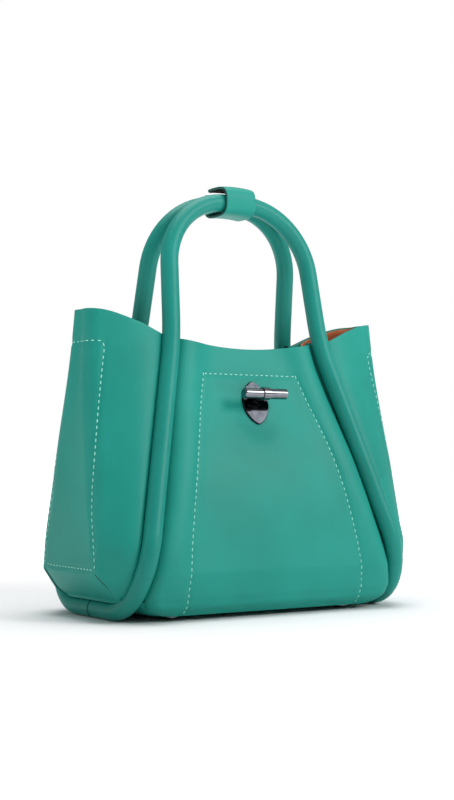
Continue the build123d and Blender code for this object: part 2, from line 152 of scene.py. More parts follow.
def calf_leather(name, deep, mid, light, roughness=0.47, grain=0.22):
    """Dyed calf: a drifting colour, and fine cells and pores that roughen its sheen."""
    material, shader = new_material(name)
    where = add_node(material, "ShaderNodeTexCoord").outputs["Object"]
    drift = add_node(material, "ShaderNodeTexNoise", Vector=where, Scale=CLOUDS_PER_METRE, Detail=3.0)
    colour = ramp(material, drift.outputs["Fac"], (0.30, deep), (0.52, mid), (0.75, light))
    link(material, colour, shader, "Base Color")
    cells = add_node(
        material, "ShaderNodeTexVoronoi", {"feature": "SMOOTH_F1"}, Vector=where, Scale=1 / (GRAIN_MM * MM)
    )
    pores = add_node(material, "ShaderNodeTexNoise", Vector=where, Scale=1 / (PORE_MM * MM), Detail=4.0)
    height = add_node(material, "ShaderNodeMath", {"operation": "ADD"})
    link(material, cells.outputs["Distance"], height, 0)
    link(material, pores.outputs["Fac"], height, 1)
    bump = add_node(
        material, "ShaderNodeBump", Strength=grain, Distance=0.25 * MM, Height=height.outputs["Value"]
    )
    link(material, bump.outputs["Normal"], shader, "Normal")
    rough = add_node(
        material, "ShaderNodeMapRange",
        Value=drift.outputs["Fac"], To_Min=roughness - 0.05, To_Max=roughness + 0.07,
    )
    link(material, rough.outputs["Result"], shader, "Roughness")
    shader.inputs["IOR"].default_value = LEATHER_IOR
    shader.inputs["Specular IOR Level"].default_value = LEATHER_SPECULAR
    return material


green = calf_leather("green_calf", "#15877A", "#199082", "#1F988B")
green_tube = calf_leather("green_calf_tube", "#138074", "#17897D", "#1D9185", roughness=0.40)
black = calf_leather("black_calf", "#0D0E0F", "#131416", "#1B1C1E", roughness=0.5)
edge_paint = calf_leather("edge_paint", "#164A41", "#1B564C", "#216257", roughness=0.4, grain=0.04)
print("leathers:", [m.name for m in (green, green_tube, black, edge_paint)])

# %% [markdown]
# ### Suede, steel, board and cotton
# The lining is a brushed terracotta suede: no gloss, a pale rim where the nap catches the light, and
# cloudy patches where it was stroked one way or the other. Hair could make the nap, but it is so short
# that the shader's sheen gives the same pale rim. The fittings are polished steel, and the lock's plate
# is black nickel, so their look is all reflection, with a faint unevenness that only dulls it slightly.
# The steel's colour is much darker than bright steel: partly a dark plated tone, and partly a painted
# dark reflection of dark surroundings that the scene doesn't have.
# The board and the cotton cord are inside. All of them read the place in space, as the leather does.

# %% Suede
BRUSHED_PER_METRE = 45.0  # one brushed patch about every 22 mm
FIBRES_PER_MM = 2.2


def suede(name):
    """Brushed suede: cloudy patches, a fibrous surface and a sheen at grazing angles."""
    material, shader = new_material(name)
    where = add_node(material, "ShaderNodeTexCoord").outputs["Object"]
    nap = add_node(
        material, "ShaderNodeTexNoise",
        Vector=where, Scale=BRUSHED_PER_METRE, Detail=5.0, Roughness=0.65,
    )
    colour = ramp(material, nap.outputs["Fac"], (0.30, "#94451F"), (0.52, "#B05E30"), (0.74, "#C4773F"))
    link(material, colour, shader, "Base Color")
    fibre = add_node(material, "ShaderNodeTexNoise", Vector=where, Scale=FIBRES_PER_MM / MM, Detail=2.0)
    bump = add_node(
        material, "ShaderNodeBump", Strength=0.35, Distance=0.2 * MM, Height=fibre.outputs["Fac"]
    )
    link(material, bump.outputs["Normal"], shader, "Normal")
    shader.inputs["Roughness"].default_value = 0.93
    shader.inputs["Sheen Weight"].default_value = 0.35
    shader.inputs["Sheen Roughness"].default_value = 0.45
    return material


# %% Metal, board and thread
POLISH_MM = 4.0


def polished_metal(name, dark, light):
    """Polished metal whose tone and gloss waver a little, as a buffed surface does."""
    material, shader = new_material(name)
    where = add_node(material, "ShaderNodeTexCoord").outputs["Object"]
    waver = add_node(material, "ShaderNodeTexNoise", Vector=where, Scale=1 / (POLISH_MM * MM), Detail=2.0)
    tone = ramp(material, waver.outputs["Fac"], (0.35, dark), (0.65, light))
    link(material, tone, shader, "Base Color")
    rough = add_node(material, "ShaderNodeMapRange", Value=waver.outputs["Fac"], To_Min=0.07, To_Max=0.10)
    link(material, rough.outputs["Result"], shader, "Roughness")
    shader.inputs["Metallic"].default_value = 1.0
    return material


def plain_fibre(name, dark, light, scale_mm, roughness):
    """A dull fibrous material, with fibres or fibre bundles scale_mm apart."""
    material, shader = new_material(name)
    where = add_node(material, "ShaderNodeTexCoord").outputs["Object"]
    fibre = add_node(material, "ShaderNodeTexNoise", Vector=where, Scale=1 / (scale_mm * MM), Detail=2.0)
    colour = ramp(material, fibre.outputs["Fac"], (0.35, dark), (0.65, light))
    link(material, colour, shader, "Base Color")
    bump = add_node(
        material, "ShaderNodeBump", Strength=0.3, Distance=0.1 * MM, Height=fibre.outputs["Fac"]
    )
    link(material, bump.outputs["Normal"], shader, "Normal")
    shader.inputs["Roughness"].default_value = roughness
    return material


lining_suede = suede("terracotta_suede")
# The steel's dark tone is partly a dark plated finish and partly a painted dark reflection.
steel = polished_metal("polished_steel_painted_dark", "#74777C", "#83868B")
black_nickel = polished_metal("black_nickel_plate", "#25262A", "#303236")
board = plain_fibre("fibre_board", "#3A3733", "#4A4640", 1.5, 0.8)
cotton = plain_fibre("cotton_cord", "#D9D2C3", "#EFEADF", 0.6, 0.9)
thread = plain_fibre("waxed_thread", "#7FD9C6", "#A9EBDD", 0.5, 0.55)

# %% [markdown]
# ### Which part wears what
# The parts that come from the frame keep their shape, and only their material changes. A table says which
# one each has. Whatever isn't in the table is a metal fitting in steel, or a leather part that a new
# piece stands for further down.

# %% Materials of the frame's own parts
NODE_MATERIALS = {
    "lock_plate": black_nickel, "lock_boss": black_nickel,
    "front_handle_cover": green_tube, "back_handle_cover": green_tube,
    "front_handle_core": cotton, "back_handle_core": cotton,
    "base_panel": green, "base_board": board, "inner_pocket": lining_suede,
    "closure_anchor": green, "closure_strap": green,
    "left_ring_tab": green, "right_ring_tab": green,
    "leash_tab": green, "leash_strap": green,
}
for name, node in nodes.items():
    node.data.materials.clear()
    node.data.materials.append(NODE_MATERIALS.get(name, steel))
print(len(NODE_MATERIALS), "parts with a material of their own, the rest in", steel.name)

# %% [markdown]
# ## The shape of the body
# A bucket bag is cut from a few panels that are sewn together flat and then stand up. Its shape is
# easiest to say level by level: how long and how deep the bag is at each height. The panels could be
# modelled one by one and pulled together afterwards. Here they all read their points from these levels,
# so they meet without being fitted to each other. The handles bound the panels, so their line is worked
# out here too.

# %% Levels, rim and handle route, in millimetres
# height, half length at the seams, half depth there, half length of the ends, half depth of the ends
LEVELS = [
    (3.0, 82.0, 47.0, 90.0, 38.0),
    (14.0, 87.5, 53.5, 103.0, 40.0),
    (28.0, 90.0, 54.5, 115.5, 34.0),
    (90.0, 75.5, 41.6, 114.5, 26.0),
    (147.0, 60.5, 23.0, 113.0, 15.0),
    (192.0, 49.5, 14.5, 112.0, 10.5),
]
RIM = [(-57, 170.5), (0, 164.5), (57, 170.5), (80, 179.0), (98, 184.6), (116, 186.0)]
HANDLE_ROUTE = [(97, 0, 5.6), (97, 38, 5.6), (92.4, 56.5, 34), (56.3, 21.1, 168.5), (50.5, 5.9, 258.4)]
HANDLE_BENDS = [30, 40, 150]
TUBE_R = 5.6
FOLD_Z = LEVELS[2][0]  # height of the sharp fold across each end


# %% Smooth steps and smooth lines
def smooth(t):
    """0 below 0, 1 above 1, and an even ease between them."""
    t = min(1.0, max(0.0, t))
    return t * t * (3 - 2 * t)


def through(points, x):
    """A smooth line through (x, y) points, with the slope at each taken from its neighbours."""
    last = len(points) - 1
    x = min(max(x, points[0][0]), points[last][0])
    i = max(k for k in range(last) if points[k][0] <= x)

    def slope(k):
        a, b = points[max(k - 1, 0)], points[min(k + 1, last)]
        return (b[1] - a[1]) / (b[0] - a[0])

    (x0, y0), (x1, y1) = points[i], points[i + 1]
    h = x1 - x0
    t = (x - x0) / h
    return (
        y0 * (1 + 2 * t) * (1 - t) ** 2 + slope(i) * h * t * (1 - t) ** 2
        + y1 * t * t * (3 - 2 * t) - slope(i + 1) * h * t * t * (1 - t)
    )


def level(z, column):
    """One column of LEVELS at height z: straight below the fold at the ends, smooth above it."""
    rows = [(row[0], row[column]) for row in LEVELS]
    if z < FOLD_Z:
        low, high = (rows[0], rows[1]) if z < LEVELS[1][0] else (rows[1], rows[2])
        t = (z - low[0]) / (high[0] - low[0])
        return low[1] + (high[1] - low[1]) * t
    return through(rows[2:], z)


def rim_height(x):
    """Height of the rim, which is low in the middle and high at the ends."""
    return through(RIM, abs(x))


# %% The line of the handles
def handle_line(steps=12):
    """Points along one side of a handle, with an arc at each bend."""
    corners = [Vector(p) for p in HANDLE_ROUTE]
    line = [corners[0]]
    for before, corner, after, radius in zip(corners, corners[1:], corners[2:], HANDLE_BENDS):
        a, b = (before - corner).normalized(), (after - corner).normalized()
        half = a.angle(b) / 2
        reach = radius / math.tan(half)
        start, end = corner + a * reach, corner + b * reach
        for k in range(steps + 1):
            t = k / steps
            line.append(start.lerp(corner, t).lerp(corner.lerp(end, t), t))
    return line + [corners[-1]]


UNDER_Z = 6.0  # the tube lies under the bag up to here, and rises from there
HANDLE_LINE = [p for p in handle_line() if p.z > UNDER_Z]


def handle_at(z):
    """Half length and half depth of the handle's axis at height z."""
    for low, high in zip(HANDLE_LINE, HANDLE_LINE[1:]):
        if low.z <= z <= high.z:
            p = low.lerp(high, (z - low.z) / (high.z - low.z))
            return p.x, p.y
    nearest = HANDLE_LINE[0] if z < HANDLE_LINE[0].z else HANDLE_LINE[-1]
    return nearest.x, nearest.y


print("handle at 30, 100, 168 mm:", [tuple(round(c, 1) for c in handle_at(z)) for z in (30, 100, 168)])

# %% [markdown]
# ## Seams and stitches
# The contrast stitching follows a tall trapezoid on the two faces and a long shield on each end. Thread
# pulls the leather down a little, so a stitched line is also a shallow groove. The groove could be a bump
# in the material, but then it would be missing from the mesh. Both the groove and the thread read the
# same lines, which are given here as half widths at each height.

# %% Stitched lines
FACE_LINE = [(2, 64.0), (20, 64.0), (53, 60.0), (97, 50.5), (148, 35.0)]
FACE_TOP = 148.0
END_LINE = [(30, 1.0), (60, 0.965), (100, 0.885), (166, 0.76)]
END_TOP, END_LOW = 166.0, 31.0
GROOVE_MM, GROOVE_WIDTH_MM = 0.55, 1.5
CORNER_SHARE = 0.40  # share of the end panel's width from the tube to its corner


def groove(distance):
    """Depth of the pressed-in leather at a distance from the stitched line."""
    return GROOVE_MM * math.exp(-(distance / GROOVE_WIDTH_MM) ** 2)


def face_groove(x, z):
    """Depth of the groove on a face, along the two sides and the top of its trapezoid."""
    if z > FACE_TOP + 4:
        return 0.0
    side = abs(abs(x) - through(FACE_LINE, min(z, FACE_TOP)))
    depth = groove(side) if z <= FACE_TOP else groove(math.hypot(side, z - FACE_TOP))
    if abs(x) < FACE_LINE[-1][1]:
        depth = max(depth, groove(z - FACE_TOP))
    return depth


print("groove at 0, 1 and 3 mm from the line:", [round(groove(d), 2) for d in (0, 1, 3)])

# %% [markdown]
# ## Face panels
# Each face is one sheet. It starts flat under the base, turns up round a soft edge, swells over what is
# inside and leans back to the rim. Beside the handles it rolls in and disappears behind the tube. A grid
# that is pushed into this shape keeps even faces, which a swept outline would not.

# %% Outline of a face
ROLL_SHARE, ROLL_WIDE, ROLL_DEEP = 0.86, 6.5, 8.0
CORNER_ROUND = 13.0
FACE_LOW = 3.2
TUBE_LAP = 0.6  # how far a face reaches under the tube's side
STRAIGHT_Z = 18  # below this the tube turns away under the end, and the face doesn't follow it


def face_edge(z):
    """Half length of a face at height z: up to the inner side of the tube, and round at the bottom."""
    edge = handle_at(max(z, STRAIGHT_Z))[0] - TUBE_R + TUBE_LAP
    lift = CORNER_ROUND - min(CORNER_ROUND, z - FACE_LOW)
    return edge - (CORNER_ROUND - math.sqrt(max(0.0, CORNER_ROUND ** 2 - lift ** 2)))


# %% Swell of a face
def face_depth(x, z):
    """Half depth of a face's outer surface at half length x, before it rolls in beside the tube."""
    edge = face_edge(max(z, FACE_LOW + CORNER_ROUND))
    across = min(1.0, abs(x) / edge)
    # belly: what is inside pushes the face out. sag: the rim falls in between the handles.
    # puff: the leather bunches beside the tube. under: the sheet turns in under the base.
    belly = 3.0 * math.sin(math.pi * min(1, max(0, (z - 8) / 125))) * (1 - across ** 2)
    sag = 1.4 * smooth((z - 138) / 25) * (1 - across ** 2)
    puff = 3.6 * math.exp(-((edge - abs(x) - 11) / 11) ** 2) * smooth((z - 10) / 30)
    under = 5.5 * (1 - smooth((z - FACE_LOW) / 9)) ** 2
    return level(max(z, 12), 2) + belly - sag + puff - under


# %% The flat place under the lock
LOCK_CENTRE = sum(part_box("lock_plate"), Vector()) / 2 / MM
LOCK_FLAT = 41.0  # half depth of that place at the height of the fourth level
LOCK_WIDE, LOCK_HIGH = 15, 20


def flat_depth(z):
    """Half depth of the flat face that the lock is screwed to."""
    z0, z1, d1 = LEVELS[3][0], LEVELS[4][0], LEVELS[4][2]
    return LOCK_FLAT + (d1 - LOCK_FLAT) * (z - z0) / (z1 - z0)


# %% Points of a face
def face_point(u, v, side):
    """Point of a face panel: u from -1 to 1 along the bag, v from 0 at the base to 1 at the rim."""
    across = abs(u)
    inner = min(1.0, across / ROLL_SHARE)
    turn = max(0.0, (across - ROLL_SHARE) / (1 - ROLL_SHARE)) * math.pi / 2
    z = FACE_LOW + v * (RIM[1][1] - FACE_LOW)
    for _ in range(3):
        x = (face_edge(z) - ROLL_WIDE) * inner + ROLL_WIDE * math.sin(turn)
        z = FACE_LOW + v * (rim_height(x) - FACE_LOW)
    depth = face_depth(x, z)
    if side < 0:
        spread = (x / LOCK_WIDE) ** 2 + ((z - LOCK_CENTRE.z) / LOCK_HIGH) ** 2
        lock = math.exp(-spread ** 2)
        depth = depth * (1 - lock) + (flat_depth(z) - 0.05) * lock
    depth -= face_groove(x, z) + ROLL_DEEP * (1 - math.cos(turn))
    return Vector((math.copysign(x, u), side * depth, z)) * MM


# %% From a grid to a finished piece
WALL_MM = 3.0
BODY_CENTRE = Vector((0, 0, 0.09))


def sheet(across, along, place):
    """A grid of faces, each corner moved to place(u, v) with u and v from 0 to 1."""
    mesh = bmesh.new()
    bmesh.ops.create_grid(mesh, x_segments=across, y_segments=along, size=1)
    for corner in mesh.verts:
        corner.co = place((corner.co.x + 1) / 2, (corner.co.y + 1) / 2)
    return mesh


def finish_piece(name, mesh, materials, body="root", centre=None):
    """Turns a bmesh into a smooth-shaded piece that rides on a body, with its faces away from centre."""
    if centre is not None:
        mesh.normal_update()
        facing = sum(f.normal.dot(f.calc_center_median() - centre) * f.calc_area() for f in mesh.faces)
        if facing < 0:
            bmesh.ops.reverse_faces(mesh, faces=mesh.faces[:])
    data = bpy.data.meshes.new(name)
    mesh.to_mesh(data)
    mesh.free()
    for polygon in data.polygons:
        polygon.use_smooth = True
    for material in materials:
        data.materials.append(material)
    piece = bpy.data.objects.new(name, data)
    bpy.context.scene.collection.objects.link(piece)
    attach(piece, body)
    return piece


def thicken(piece, thickness):
    """Gives a sheet its leather thickness inwards, with a painted, softly rounded edge."""
    solid = piece.modifiers.new("thickness", "SOLIDIFY")
    solid.thickness = thickness * MM
    solid.offset = -1
    solid.use_rim = True
    solid.material_offset_rim = 1
    bevel = piece.modifiers.new("edge", "BEVEL")
    bevel.width = 0.5 * MM
    bevel.segments = 2
    bevel.limit_method = "ANGLE"
    bevel.angle_limit = math.radians(50)
    return piece


# %% Face panels
for side, name in ((-1, "front_panel"), (1, "back_panel")):
    mesh = sheet(150, 120, lambda u, v: face_point(2 * u - 1, v, side))
    face = finish_piece(name + "_leather", mesh, [green, edge_paint], centre=BODY_CENTRE)
    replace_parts(thicken(face, WALL_MM), name)
    print(face.name, len(face.data.polygons), "faces")

# %% [markdown]
# ## End panels
# An end panel starts behind the front tube, turns round the end of the bag and goes back behind the back
# tube. High up the end is narrow and pinched in a little. Low down it is a wide box end, with a sharp
# fold across it at the height where the leather tucks under towards the tubes. It is a grid too. Each row
# of the grid is a three-sided line with rounded corners, and the fold gets a row of its own so that it
# stays sharp.

# %% A row of an end
END_LOW_Z = 11.0
TUBE_SIDE, TUBE_BEHIND = 4.6, 3.4
BOX_END_X = 101.0  # least half length of the box end below the fold


def corner_path(points, radius, t):
    """Point at share t of a line through points, with its corners rounded by Bezier arcs."""
    lengths = [(b - a).length for a, b in zip(points, points[1:])]
    shares = [0, CORNER_SHARE, 1 - CORNER_SHARE, 1]
    for k in (1, 2):
        before, after = lengths[k - 1], lengths[k]
        reach = min(radius, before * 0.45, after * 0.45)
        ta = shares[k] - reach / before * (shares[k] - shares[k - 1])
        tb = shares[k] + reach / after * (shares[k + 1] - shares[k])
        if ta <= t <= tb:
            s = (t - ta) / (tb - ta)
            a = points[k].lerp(points[k - 1], reach / before)
            b = points[k].lerp(points[k + 1], reach / after)
            return a.lerp(points[k], s).lerp(points[k].lerp(b, s), s)
    k = 0 if t < shares[1] else (1 if t < shares[2] else 2)
    return points[k].lerp(points[k + 1], (t - shares[k]) / (shares[k + 1] - shares[k]))


# %% Points of an end
def end_point(s, z):
    """Point of the right end panel: s from 0 behind the front tube to 1 behind the back tube."""
    tube_x, tube_y = handle_at(max(z, END_LOW_Z))
    long_half, end_half = level(z, 3), level(z, 4)
    start = Vector((tube_x + TUBE_SIDE, -(tube_y - TUBE_BEHIND), z))
    if z < FOLD_Z:
        long_half = max(long_half, BOX_END_X)
    corner = Vector((long_half, -min(end_half, -start.y - 2), z))
    points = [start, corner, Vector((corner.x, -corner.y, z)), Vector((start.x, -start.y, z))]
    rounding = 2.0 + 8.0 * smooth((z - 30) / 50)
    p = corner_path(points, rounding, s)
    fold = min(s, 1 - s) / CORNER_SHARE
    if fold < 1:
        swell = 4.6 * math.sin(math.pi * fold ** 0.55) * smooth((z - 16) / 30)
        out = Vector((points[1].y - points[0].y, -(points[1].x - points[0].x), 0)).normalized()
        p += Vector((out.x, out.y * (1 if s < 0.5 else -1), 0)) * swell
    middle = math.exp(-(p.y / 9) ** 2)
    p.x -= 3.0 * middle * smooth((z - 110) / 70) + 1.6 * math.exp(-(p.y / 20) ** 2) * smooth((z - 50) / 60)
    return p


# %% Grooves of an end
def end_groove(s, z):
    """Depth of the groove on an end, along the shield's sides, top and foot and in the corner folds."""
    fold = min(s, 1 - s) / CORNER_SHARE
    line = through(END_LINE, min(max(z, END_LINE[0][0]), END_TOP))
    width = (end_point(CORNER_SHARE, max(z, 29)) - end_point(0, max(z, 29))).length
    side = abs(fold - line) * width if fold < 1.02 else width
    if END_LOW <= z <= END_TOP:
        depth = groove(side)
    else:
        depth = groove(math.hypot(side, min(abs(z - END_TOP), abs(z - END_LOW))))
    if fold > line:
        depth = max(depth, groove(z - END_TOP), groove(z - END_LOW))
    if z < END_LOW - 2:
        depth = max(depth, 2.2 * groove(1.3 * abs(fold - 1) * width))
    return depth


# %% Rows and flanges of an end
FOLD_ROW = 0.14  # share of the panel's rows that lie below the fold
FLANGE_SHARE, FLANGE_REACH, FLANGE_DEEP = 0.04, 5.0, 9.0
STEP = 0.002  # a small step along a row, to find which way it runs


def end_height(s, v):
    """Height of row v of the end panel: from the tubes to the rim, with the fold on a row of its own."""
    if v <= FOLD_ROW:
        return END_LOW_Z + (FOLD_Z - END_LOW_Z) * v / FOLD_ROW
    x = end_point(s, 180).x
    return FOLD_Z + (v - FOLD_ROW) / (1 - FOLD_ROW) * (rim_height(x) - FOLD_Z)


def end_surface(u, v, side):
    """Point of an end panel with the flanges that run behind the tubes to the faces."""
    s = min(1.0, max(0.0, (u - FLANGE_SHARE) / (1 - 2 * FLANGE_SHARE)))
    z = end_height(s, v)
    p = end_point(s, z)
    flange = max(0.0, 1 - min(u, 1 - u) / FLANGE_SHARE)
    if flange > 0:
        tube_x, tube_y = handle_at(max(z, END_LOW_Z))
        lap = Vector((tube_x - FLANGE_REACH, math.copysign(tube_y - FLANGE_DEEP, u - 0.5), z))
        p = p.lerp(lap, flange)
    else:
        a, b = end_point(max(0, s - STEP), z), end_point(min(1, s + STEP), z)
        inward = Vector((-(b.y - a.y), b.x - a.x, 0)).normalized()
        p += inward * end_groove(s, z)
    return Vector((p.x * side, p.y, p.z)) * MM


# %% End panels
for side, name in ((-1, "left_side_panel"), (1, "right_side_panel")):
    mesh = sheet(200, 100, lambda u, v: end_surface(u, v, side))
    end = finish_piece(name + "_leather", mesh, [green, edge_paint], centre=BODY_CENTRE)
    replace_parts(thicken(end, WALL_MM), name)
    print(end.name, len(end.data.polygons), "faces")

# %% [markdown]
# ## Base
# The base is a shallow tray of the same leather. A flat plate would leave a gap beside the tubes. The
# tray's rim is turned up inside the walls, so nothing shows between the faces and the handles where they
# pass under the ends.

# %% Base
BASE_HALF = (92.0, 45.0)
BASE_FLAT = 0.86
BASE_MM = 2.2


def base_point(u, v):
    """Point of the tray, u and v from -1 to 1: flat in the middle, rising and rounded at its border."""
    reach = max(abs(u), abs(v))
    rise = max(0.0, (reach - BASE_FLAT) / (1 - BASE_FLAT))
    corner = 0.04 * min(abs(u), abs(v)) ** 6
    x = u * BASE_HALF[0] * (1 - corner) + math.copysign(2.0 * rise, u) * (abs(u) == reach)
    y = v * BASE_HALF[1] * (1 - corner) + math.copysign(3.0 * rise, v) * (abs(v) == reach)
    return Vector((x, y, 3.1 + 9.0 * rise ** 2)) * MM


mesh = sheet(90, 60, lambda u, v: base_point(2 * u - 1, 2 * v - 1))
base = finish_piece("base_leather", mesh, [green, edge_paint], centre=BODY_CENTRE)
thicken(base, BASE_MM)
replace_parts(base, "base_panel")
print(base.name, len(base.data.polygons), "faces")

# %% [markdown]
# ## Lining
# The suede lining is a bag of its own inside the leather. It follows the same surfaces a few millimetres
# further in, and comes out to the leather at the rim, where the two are joined. Thickening the leather
# inwards would be simpler, but a real lining doesn't follow each seam, so it has its own smoother grid.
# One quarter of the bag is worked out, and the other three mirror it.

# %% A point of the lining
LINING_GAP, LINING_FLOOR, LINING_MM = 4.3, 9.4, 0.9
LINING_RIM_DROP = 1.2
FACE_SHARE = 0.62  # share of a quarter turn that lies on the face, before its seam with the end
LINING_STEP = 0.01


def lining_point(t, v):
    """t runs once round the bag from the middle of the front face, v from the floor to the rim."""
    quarter = t * 4
    turn = int(quarter) % 4
    share = quarter - int(quarter)
    if turn in (1, 3):
        share = 1 - share
    sx = 1 if turn in (0, 1) else -1
    sy = -1 if turn in (0, 3) else 1
    on_end = (share - FACE_SHARE) / (1 - FACE_SHARE) * 0.5

    def leather_at(z):
        """The leather's point at height z, on the face or on the end."""
        if share >= FACE_SHARE:
            return end_point(on_end, z)
        tube_x = handle_at(max(z, 12))[0]
        x = (share / FACE_SHARE) * tube_x
        return Vector((x, -face_depth(min(x, tube_x - TUBE_R), z), z))

    top = rim_height(leather_at(175).x) - LINING_RIM_DROP
    z = LINING_FLOOR + (top - LINING_FLOOR) * v
    p = leather_at(z)
    p.z = z
    tube_x = handle_at(max(z, 12))[0]
    from_seam = math.hypot(p.x - tube_x, max(0, abs(p.x) - tube_x - 5))
    gap = LINING_GAP - 1.0 * smooth((z - top + 12) / 12)  # closes towards the rim
    gap += 7.0 * math.exp(-(from_seam / 11) ** 2)  # cuts across the valley beside the tube
    gap += 6.0 * (1 - smooth((z - LINING_FLOOR) / 14))  # and rounds the bottom
    away = Vector((0, -1, 0))
    if share >= FACE_SHARE:
        a = end_point(max(0, on_end - LINING_STEP), z)
        b = end_point(min(1, on_end + LINING_STEP), z)
        away = Vector((b.y - a.y, -(b.x - a.x), 0)).normalized()
    p -= away * gap
    p.y = min(p.y, 0)
    return Vector((p.x * sx, -p.y * sy, p.z)) * MM


# %% Lining
ONCE_ROUND = 0.999999  # just under 1, where the first quarter would start again
mesh = sheet(260, 60, lambda u, v: lining_point(min(u, ONCE_ROUND), v))
bmesh.ops.remove_doubles(mesh, verts=mesh.verts, dist=0.02 * MM)
floor_edges = [
    e for e in mesh.edges
    if e.is_boundary and all(abs(c.co.z - LINING_FLOOR * MM) < 1e-5 for c in e.verts)
]
bmesh.ops.contextual_create(mesh, geom=floor_edges)
lining = finish_piece("lining_suede", mesh, [lining_suede, lining_suede], centre=BODY_CENTRE)
solid = lining.modifiers.new("thickness", "SOLIDIFY")
solid.thickness = LINING_MM * MM
solid.offset = -1
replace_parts(lining, "lining")
print("lining", len(lining.data.polygons), "faces,", len(floor_edges), "edges round the floor")

# %% [markdown]
# ## Thread
# Each stitch is a short plump strand that dips into the leather at both ends. A dashed line in the
# material would look painted on, so each is a shape. Hundreds of them share one mesh, so each starts from
# a coarse sphere and is only stretched and turned into place. The thread is drawn thick, so that it
# shows.

# %% Strands along a line
PITCH_MM, STITCH_MM, THREAD_MM = 3.9, 2.7, 0.85
THREAD_LIFT = 0.2


def resample(points, pitch):
    """Evenly spaced (point, direction) pairs along a line of points."""
    result, carry = [], pitch / 2
    for a, b in zip(points, points[1:]):
        length = (b - a).length
        at = carry
        while at < length:
            result.append((a.lerp(b, at / length), (b - a).normalized()))
            at += pitch
        carry = at - length
    return result


def strands(name, lines, pitch, long, thick, material):
    """One piece of short plump strands along several lines. A line is a list of points in metres."""
    mesh = bmesh.new()
    for line in lines:
        for point, direction in resample(line, pitch * MM):
            turn = direction.to_track_quat("X", "Z").to_matrix().to_4x4()
            size = Matrix.Diagonal((long / 2 * MM, thick / 2 * MM, thick / 2 * MM, 1))
            bmesh.ops.create_icosphere(
                mesh, subdivisions=1, radius=1, matrix=Matrix.Translation(point) @ turn @ size
            )
    return finish_piece(name, mesh, [material])


def stitches(name, lines):
    """Sewn lines in the contrast thread."""
    return strands(name, lines, PITCH_MM, STITCH_MM, THREAD_MM, thread)


# %% Stitches on the faces
def face_line_point(x, z, side):
    """A point on a face's surface, raised out of the groove by about a quarter of a thread."""
    depth = face_depth(x, z) - face_groove(x, z) + THREAD_LIFT
    return Vector((x, side * depth, z)) * MM


FINE = 60
STRAP_ROW_Z, STRAP_ROW_HALF = 157.0, 11.0
for side, name in ((-1, "front_stitching"), (1, "back_stitching")):
    heights = [4 + (FACE_TOP - 4) * k / FINE for k in range(FINE + 1)]
    left = [face_line_point(-through(FACE_LINE, z), z, side) for z in heights]
    right = [face_line_point(through(FACE_LINE, z), z, side) for z in heights]
    wide = FACE_LINE[-1][1]
    top = [face_line_point(-wide + 2 * wide * k / FINE, FACE_TOP, side) for k in range(FINE + 1)]
    stitches(name, [left, top, right])

row = [face_line_point(STRAP_ROW_HALF * (k / 10 - 1), STRAP_ROW_Z, 1) for k in range(21)]
strands("closure_strap_stitching", [row], 3.0, 2.3, 0.8, edge_paint)
print("stitches along one side of a face:", len(resample(left, PITCH_MM * MM)))


# %% Stitches on the ends
SHIELD_SCALE = 150.0  # makes a share of the panel's width about as long as its millimetres
SHIELD_ROUND = 6.0
SHIELD_STEP = 2


def rounded(points, reach):
    """Points with each corner of over 40 degrees cut round, from reach before it to reach after."""
    line = [points[0]]
    for before, corner, after in zip(points, points[1:], points[2:]):
        a, b = (before - corner), (after - corner)
        if a.length > reach and b.length > reach and math.pi - a.angle(b) > math.radians(40):
            start, end = corner + a.normalized() * reach, corner + b.normalized() * reach
            line += [start.lerp(corner, k / 6).lerp(corner.lerp(end, k / 6), k / 6) for k in range(7)]
        else:
            line.append(corner)
    return line + [points[-1]]


def end_line_point(s, z, side):
    """A point on an end's surface, raised out of the groove as on the faces."""
    p = end_point(s, z)
    a, b = end_point(s - STEP, z), end_point(s + STEP, z)
    outward = Vector((b.y - a.y, -(b.x - a.x), 0)).normalized()
    p += outward * (THREAD_LIFT - end_groove(s, z))
    return Vector((p.x * side, p.y, p.z)) * MM


def shield():
    """The closed line of an end's stitching, as (share of the panel, height), with round corners."""
    line = [Vector((CORNER_SHARE * through(END_LINE, END_LOW), END_LOW))]
    line += [Vector((CORNER_SHARE * through(END_LINE, z), z)) for z in (60, 100, 140)]
    line.append(Vector((CORNER_SHARE * END_LINE[-1][1], END_TOP)))
    line += [Vector((1 - s, z)) for s, z in reversed(line)]
    line.append(line[0])
    flat = rounded([Vector((s * SHIELD_SCALE, z)) for s, z in line], SHIELD_ROUND)
    return [(s / SHIELD_SCALE, z) for s, z in flat]


for side, name in ((-1, "left_end_stitching"), (1, "right_end_stitching")):
    flat = []
    for (s0, z0), (s1, z1) in zip(shield(), shield()[1:]):
        steps = max(1, int(math.hypot((s1 - s0) * SHIELD_SCALE, z1 - z0) / SHIELD_STEP))
        flat += [(s0 + (s1 - s0) * k / steps, z0 + (z1 - z0) * k / steps) for k in range(steps)]
    stitches(name, [[end_line_point(s, z, side) for s, z in flat]])

# %% [markdown]
# ## Painted seams and painted shade
# The butt joint under each end, where the covers of the two handles meet, is a seam with a dark painted
# edge and no thread that shows. The corner folds under the ends get the same dark line, which is partly a
# dark seam line and partly painted shade in the crease of each fold. A painted edge is a slightly beaded
# line, so close strands that run into each other make it.

# %% Painted seams and painted shade
FOLD_STEPS = 24
folds = []
for side in (-1, 1):
    for s in (CORNER_SHARE, 1 - CORNER_SHARE):
        heights = [END_LOW_Z + 1 + (FOLD_Z - END_LOW_Z) * k / FOLD_STEPS for k in range(FOLD_STEPS)]
        folds.append([end_line_point(s, z, side) for z in heights])
# The dark strands along the corner folds are partly a dark seam line and partly painted shade in the
# crease of each fold.
strands("corner_fold_seams_and_shade", folds, 0.9, 2.0, 0.9, edge_paint)
print(len(folds), "corner folds")

